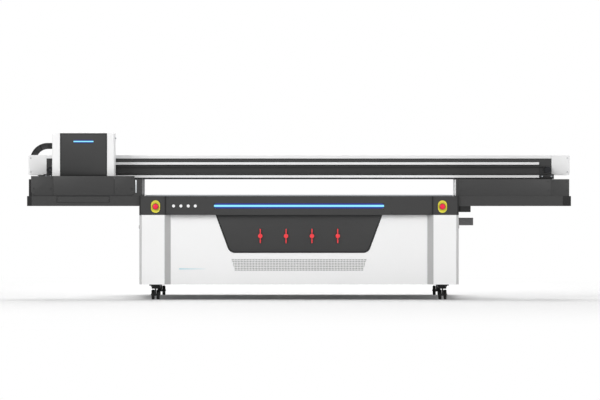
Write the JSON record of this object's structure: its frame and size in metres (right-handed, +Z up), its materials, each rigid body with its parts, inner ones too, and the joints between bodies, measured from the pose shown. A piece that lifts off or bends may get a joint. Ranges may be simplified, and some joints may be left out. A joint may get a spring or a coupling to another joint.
{
  "type": "flatbed uv printer",
  "caption": "Flatbed UV printer: white base on casters with a vacuum table, a gantry that travels over it and a print carriage on the beam.",
  "frame": {"origin": "on the floor under the middle of the overall box", "axes": "+X along the beam to the right, +Y to the back, +Z up"},
  "size_m": [4.43, 2.133, 1.358],
  "materials": {
    "base_frame": "satin",
    "front_panel": "satin",
    "valve_panel": "satin",
    "valve_bodies": "machined",
    "left_side_shell": "satin",
    "right_side_shell": "satin",
    "rear_panel": "satin",
    "control_band": "satin",
    "light_bar": "lit blue",
    "stop_plates": "yellow",
    "deck_covers": "satin",
    "vacuum_table": "anodised",
    "y_rails": "machined",
    "screw_supports": "machined",
    "vacuum_blower": "anodised",
    "electronics_box": "satin",
    "power_inlet": "satin",
    "caster_plates": "machined",
    "left_leg": "satin",
    "right_leg": "satin",
    "gantry_bearing_blocks": "machined",
    "beam": "black anodised",
    "beam_covers": "satin",
    "x_rails": "machined",
    "chain_tray": "satin",
    "x_motor": "satin",
    "x_belt": "moulded",
    "left_station": "satin",
    "left_front_cover": "satin",
    "left_tray": "satin",
    "right_station": "satin",
    "chain_lower_run": "moulded",
    "chain_bend": "moulded",
    "chain_upper_run": "moulded",
    "drive_pulley": "anodised",
    "idler_pulley": "anodised",
    "waste_drawer": "satin",
    "cap_tray": "machined",
    "carriage_plate": "anodised",
    "carriage_shell": "satin",
    "carriage_face": "satin",
    "carriage_light": "lit blue",
    "head_plate": "anodised",
    "print_heads": "moulded",
    "left_stop_button": "moulded",
    "right_stop_button": "moulded",
    "left_y_screw": "machined",
    "right_y_screw": "machined",
    "valve_handle_1": "moulded",
    "valve_handle_2": "moulded",
    "valve_handle_3": "moulded",
    "valve_handle_4": "moulded",
    "front_left_caster_yoke": "machined",
    "front_left_caster_wheels": "moulded",
    "front_right_caster_yoke": "machined",
    "front_right_caster_wheels": "moulded",
    "rear_left_caster_yoke": "machined",
    "rear_left_caster_wheels": "moulded",
    "rear_right_caster_yoke": "machined",
    "rear_right_caster_wheels": "moulded"
  },
  "bodies": {
    "base": {"base_frame": "base_frame", "front_panel": "front_panel", "valve_panel": "valve_panel", "valve_bodies": "valve_bodies", "left_side_shell": "left_side_shell", "right_side_shell": "right_side_shell", "rear_panel": "rear_panel", "control_band": "control_band", "light_bar": "light_bar", "stop_plates": "stop_plates", "deck_covers": "deck_covers", "vacuum_table": "vacuum_table", "y_rails": "y_rails", "screw_supports": "screw_supports", "vacuum_blower": "vacuum_blower", "electronics_box": "electronics_box", "power_inlet": "power_inlet", "caster_plates": "caster_plates"},
    "gantry": {"left_leg": "left_leg", "right_leg": "right_leg", "gantry_bearing_blocks": "gantry_bearing_blocks", "beam": "beam", "beam_covers": "beam_covers", "x_rails": "x_rails", "chain_tray": "chain_tray", "x_motor": "x_motor", "x_belt": "x_belt", "left_station": "left_station", "left_front_cover": "left_front_cover", "left_tray": "left_tray", "right_station": "right_station", "chain_lower_run": "chain_lower_run"},
    "carriage": {"carriage_plate": "carriage_plate", "carriage_shell": "carriage_shell", "carriage_face": "carriage_face", "carriage_light": "carriage_light", "chain_upper_run": "chain_upper_run"},
    "heads": {"head_plate": "head_plate", "print_heads": "print_heads"},
    "chain_bend": {"chain_bend": "chain_bend"},
    "drive_pulley": {"drive_pulley": "drive_pulley"},
    "idler_pulley": {"idler_pulley": "idler_pulley"},
    "waste_drawer": {"waste_drawer": "waste_drawer"},
    "cap_tray": {"cap_tray": "cap_tray"},
    "left_stop": {"left_stop_button": "left_stop_button"},
    "right_stop": {"right_stop_button": "right_stop_button"},
    "left_screw": {"left_y_screw": "left_y_screw"},
    "right_screw": {"right_y_screw": "right_y_screw"},
    "valve_1": {"valve_handle_1": "valve_handle_1"},
    "valve_2": {"valve_handle_2": "valve_handle_2"},
    "valve_3": {"valve_handle_3": "valve_handle_3"},
    "valve_4": {"valve_handle_4": "valve_handle_4"},
    "front_left_caster": {"front_left_caster_yoke": "front_left_caster_yoke"},
    "front_left_wheels": {"front_left_caster_wheels": "front_left_caster_wheels"},
    "front_right_caster": {"front_right_caster_yoke": "front_right_caster_yoke"},
    "front_right_wheels": {"front_right_caster_wheels": "front_right_caster_wheels"},
    "rear_left_caster": {"rear_left_caster_yoke": "rear_left_caster_yoke"},
    "rear_left_wheels": {"rear_left_caster_wheels": "rear_left_caster_wheels"},
    "rear_right_caster": {"rear_right_caster_yoke": "rear_right_caster_yoke"},
    "rear_right_wheels": {"rear_right_caster_wheels": "rear_right_caster_wheels"}
  },
  "joints": [
    {"name": "gantry_slide", "type": "slide", "parent": "base", "child": "gantry", "axis": [0, 1, 0], "range_m": [0, 1.34]},
    {"name": "carriage_slide", "type": "slide", "parent": "gantry", "child": "carriage", "axis": [1, 0, 0], "range_m": [0, 3.4], "deforming": ["chain_upper_run"]},
    {"name": "head_lift", "type": "slide", "parent": "carriage", "child": "heads", "axis": [0, 0, 1], "range_m": [-0.12, 0]},
    {"name": "chain_roll", "type": "slide", "parent": "gantry", "child": "chain_bend", "axis": [1, 0, 0], "range_m": [0, 1.7], "deforming": ["chain_lower_run"]},
    {"name": "drive_pulley_spin", "type": "hinge", "parent": "gantry", "child": "drive_pulley", "pos_m": [2.035, -0.64, 1.055], "axis": [0, 1, 0], "range_deg": [-5, 6800]},
    {"name": "idler_pulley_spin", "type": "hinge", "parent": "gantry", "child": "idler_pulley", "pos_m": [-2.035, -0.64, 1.055], "axis": [0, 1, 0], "range_deg": [-5, 6800]},
    {"name": "waste_drawer_slide", "type": "slide", "parent": "gantry", "child": "waste_drawer", "axis": [0, -1, 0], "range_m": [0, 0.35]},
    {"name": "cap_lift", "type": "slide", "parent": "gantry", "child": "cap_tray", "axis": [0, 0, 1], "range_m": [0, 0.02]},
    {"name": "left_stop_push", "type": "slide", "parent": "base", "child": "left_stop", "axis": [0, 1, 0], "range_m": [0, 0.006], "stiffness_N_per_m": 900, "springref_m": -0.003},
    {"name": "right_stop_push", "type": "slide", "parent": "base", "child": "right_stop", "axis": [0, 1, 0], "range_m": [0, 0.006], "stiffness_N_per_m": 900, "springref_m": -0.003},
    {"name": "left_screw_spin", "type": "hinge", "parent": "base", "child": "left_screw", "pos_m": [-1.246, 0, 0.735], "axis": [0, 1, 0], "range_deg": [-10, 24200]},
    {"name": "right_screw_spin", "type": "hinge", "parent": "base", "child": "right_screw", "pos_m": [1.246, 0, 0.735], "axis": [0, 1, 0], "range_deg": [-10, 24200]},
    {"name": "valve_1_turn", "type": "hinge", "parent": "base", "child": "valve_1", "pos_m": [-0.314, -0.99, 0.518], "axis": [0, 1, 0], "range_deg": [0, 90]},
    {"name": "valve_2_turn", "type": "hinge", "parent": "base", "child": "valve_2", "pos_m": [-0.105, -0.99, 0.518], "axis": [0, 1, 0], "range_deg": [0, 90]},
    {"name": "valve_3_turn", "type": "hinge", "parent": "base", "child": "valve_3", "pos_m": [0.105, -0.99, 0.518], "axis": [0, 1, 0], "range_deg": [0, 90]},
    {"name": "valve_4_turn", "type": "hinge", "parent": "base", "child": "valve_4", "pos_m": [0.314, -0.99, 0.518], "axis": [0, 1, 0], "range_deg": [0, 90]},
    {"name": "front_left_swivel", "type": "hinge", "parent": "base", "child": "front_left_caster", "pos_m": [-1.168, -0.8435, 0.11], "axis": [0, 0, 1], "continuous": true},
    {"name": "front_left_roll", "type": "hinge", "parent": "front_left_caster", "child": "front_left_wheels", "pos_m": [-1.168, -0.8155, 0.04], "axis": [1, 0, 0], "continuous": true},
    {"name": "front_right_swivel", "type": "hinge", "parent": "base", "child": "front_right_caster", "pos_m": [1.168, -0.8435, 0.11], "axis": [0, 0, 1], "continuous": true},
    {"name": "front_right_roll", "type": "hinge", "parent": "front_right_caster", "child": "front_right_wheels", "pos_m": [1.168, -0.8155, 0.04], "axis": [1, 0, 0], "continuous": true},
    {"name": "rear_left_swivel", "type": "hinge", "parent": "base", "child": "rear_left_caster", "pos_m": [-1.168, 0.8765, 0.11], "axis": [0, 0, 1], "continuous": true},
    {"name": "rear_left_roll", "type": "hinge", "parent": "rear_left_caster", "child": "rear_left_wheels", "pos_m": [-1.168, 0.9045, 0.04], "axis": [1, 0, 0], "continuous": true},
    {"name": "rear_right_swivel", "type": "hinge", "parent": "base", "child": "rear_right_caster", "pos_m": [1.168, 0.8765, 0.11], "axis": [0, 0, 1], "continuous": true},
    {"name": "rear_right_roll", "type": "hinge", "parent": "rear_right_caster", "child": "rear_right_wheels", "pos_m": [1.168, 0.9045, 0.04], "axis": [1, 0, 0], "continuous": true}
  ],
  "couplings": [
    {"joint": "chain_roll", "follows": "carriage_slide", "ratio": 0.5},
    {"joint": "drive_pulley_spin", "follows": "carriage_slide", "rad_per_m": 34.72},
    {"joint": "idler_pulley_spin", "follows": "carriage_slide", "rad_per_m": 34.72},
    {"joint": "left_screw_spin", "follows": "gantry_slide", "rad_per_m": 314.16},
    {"joint": "right_screw_spin", "follows": "gantry_slide", "rad_per_m": 314.16}
  ]
}
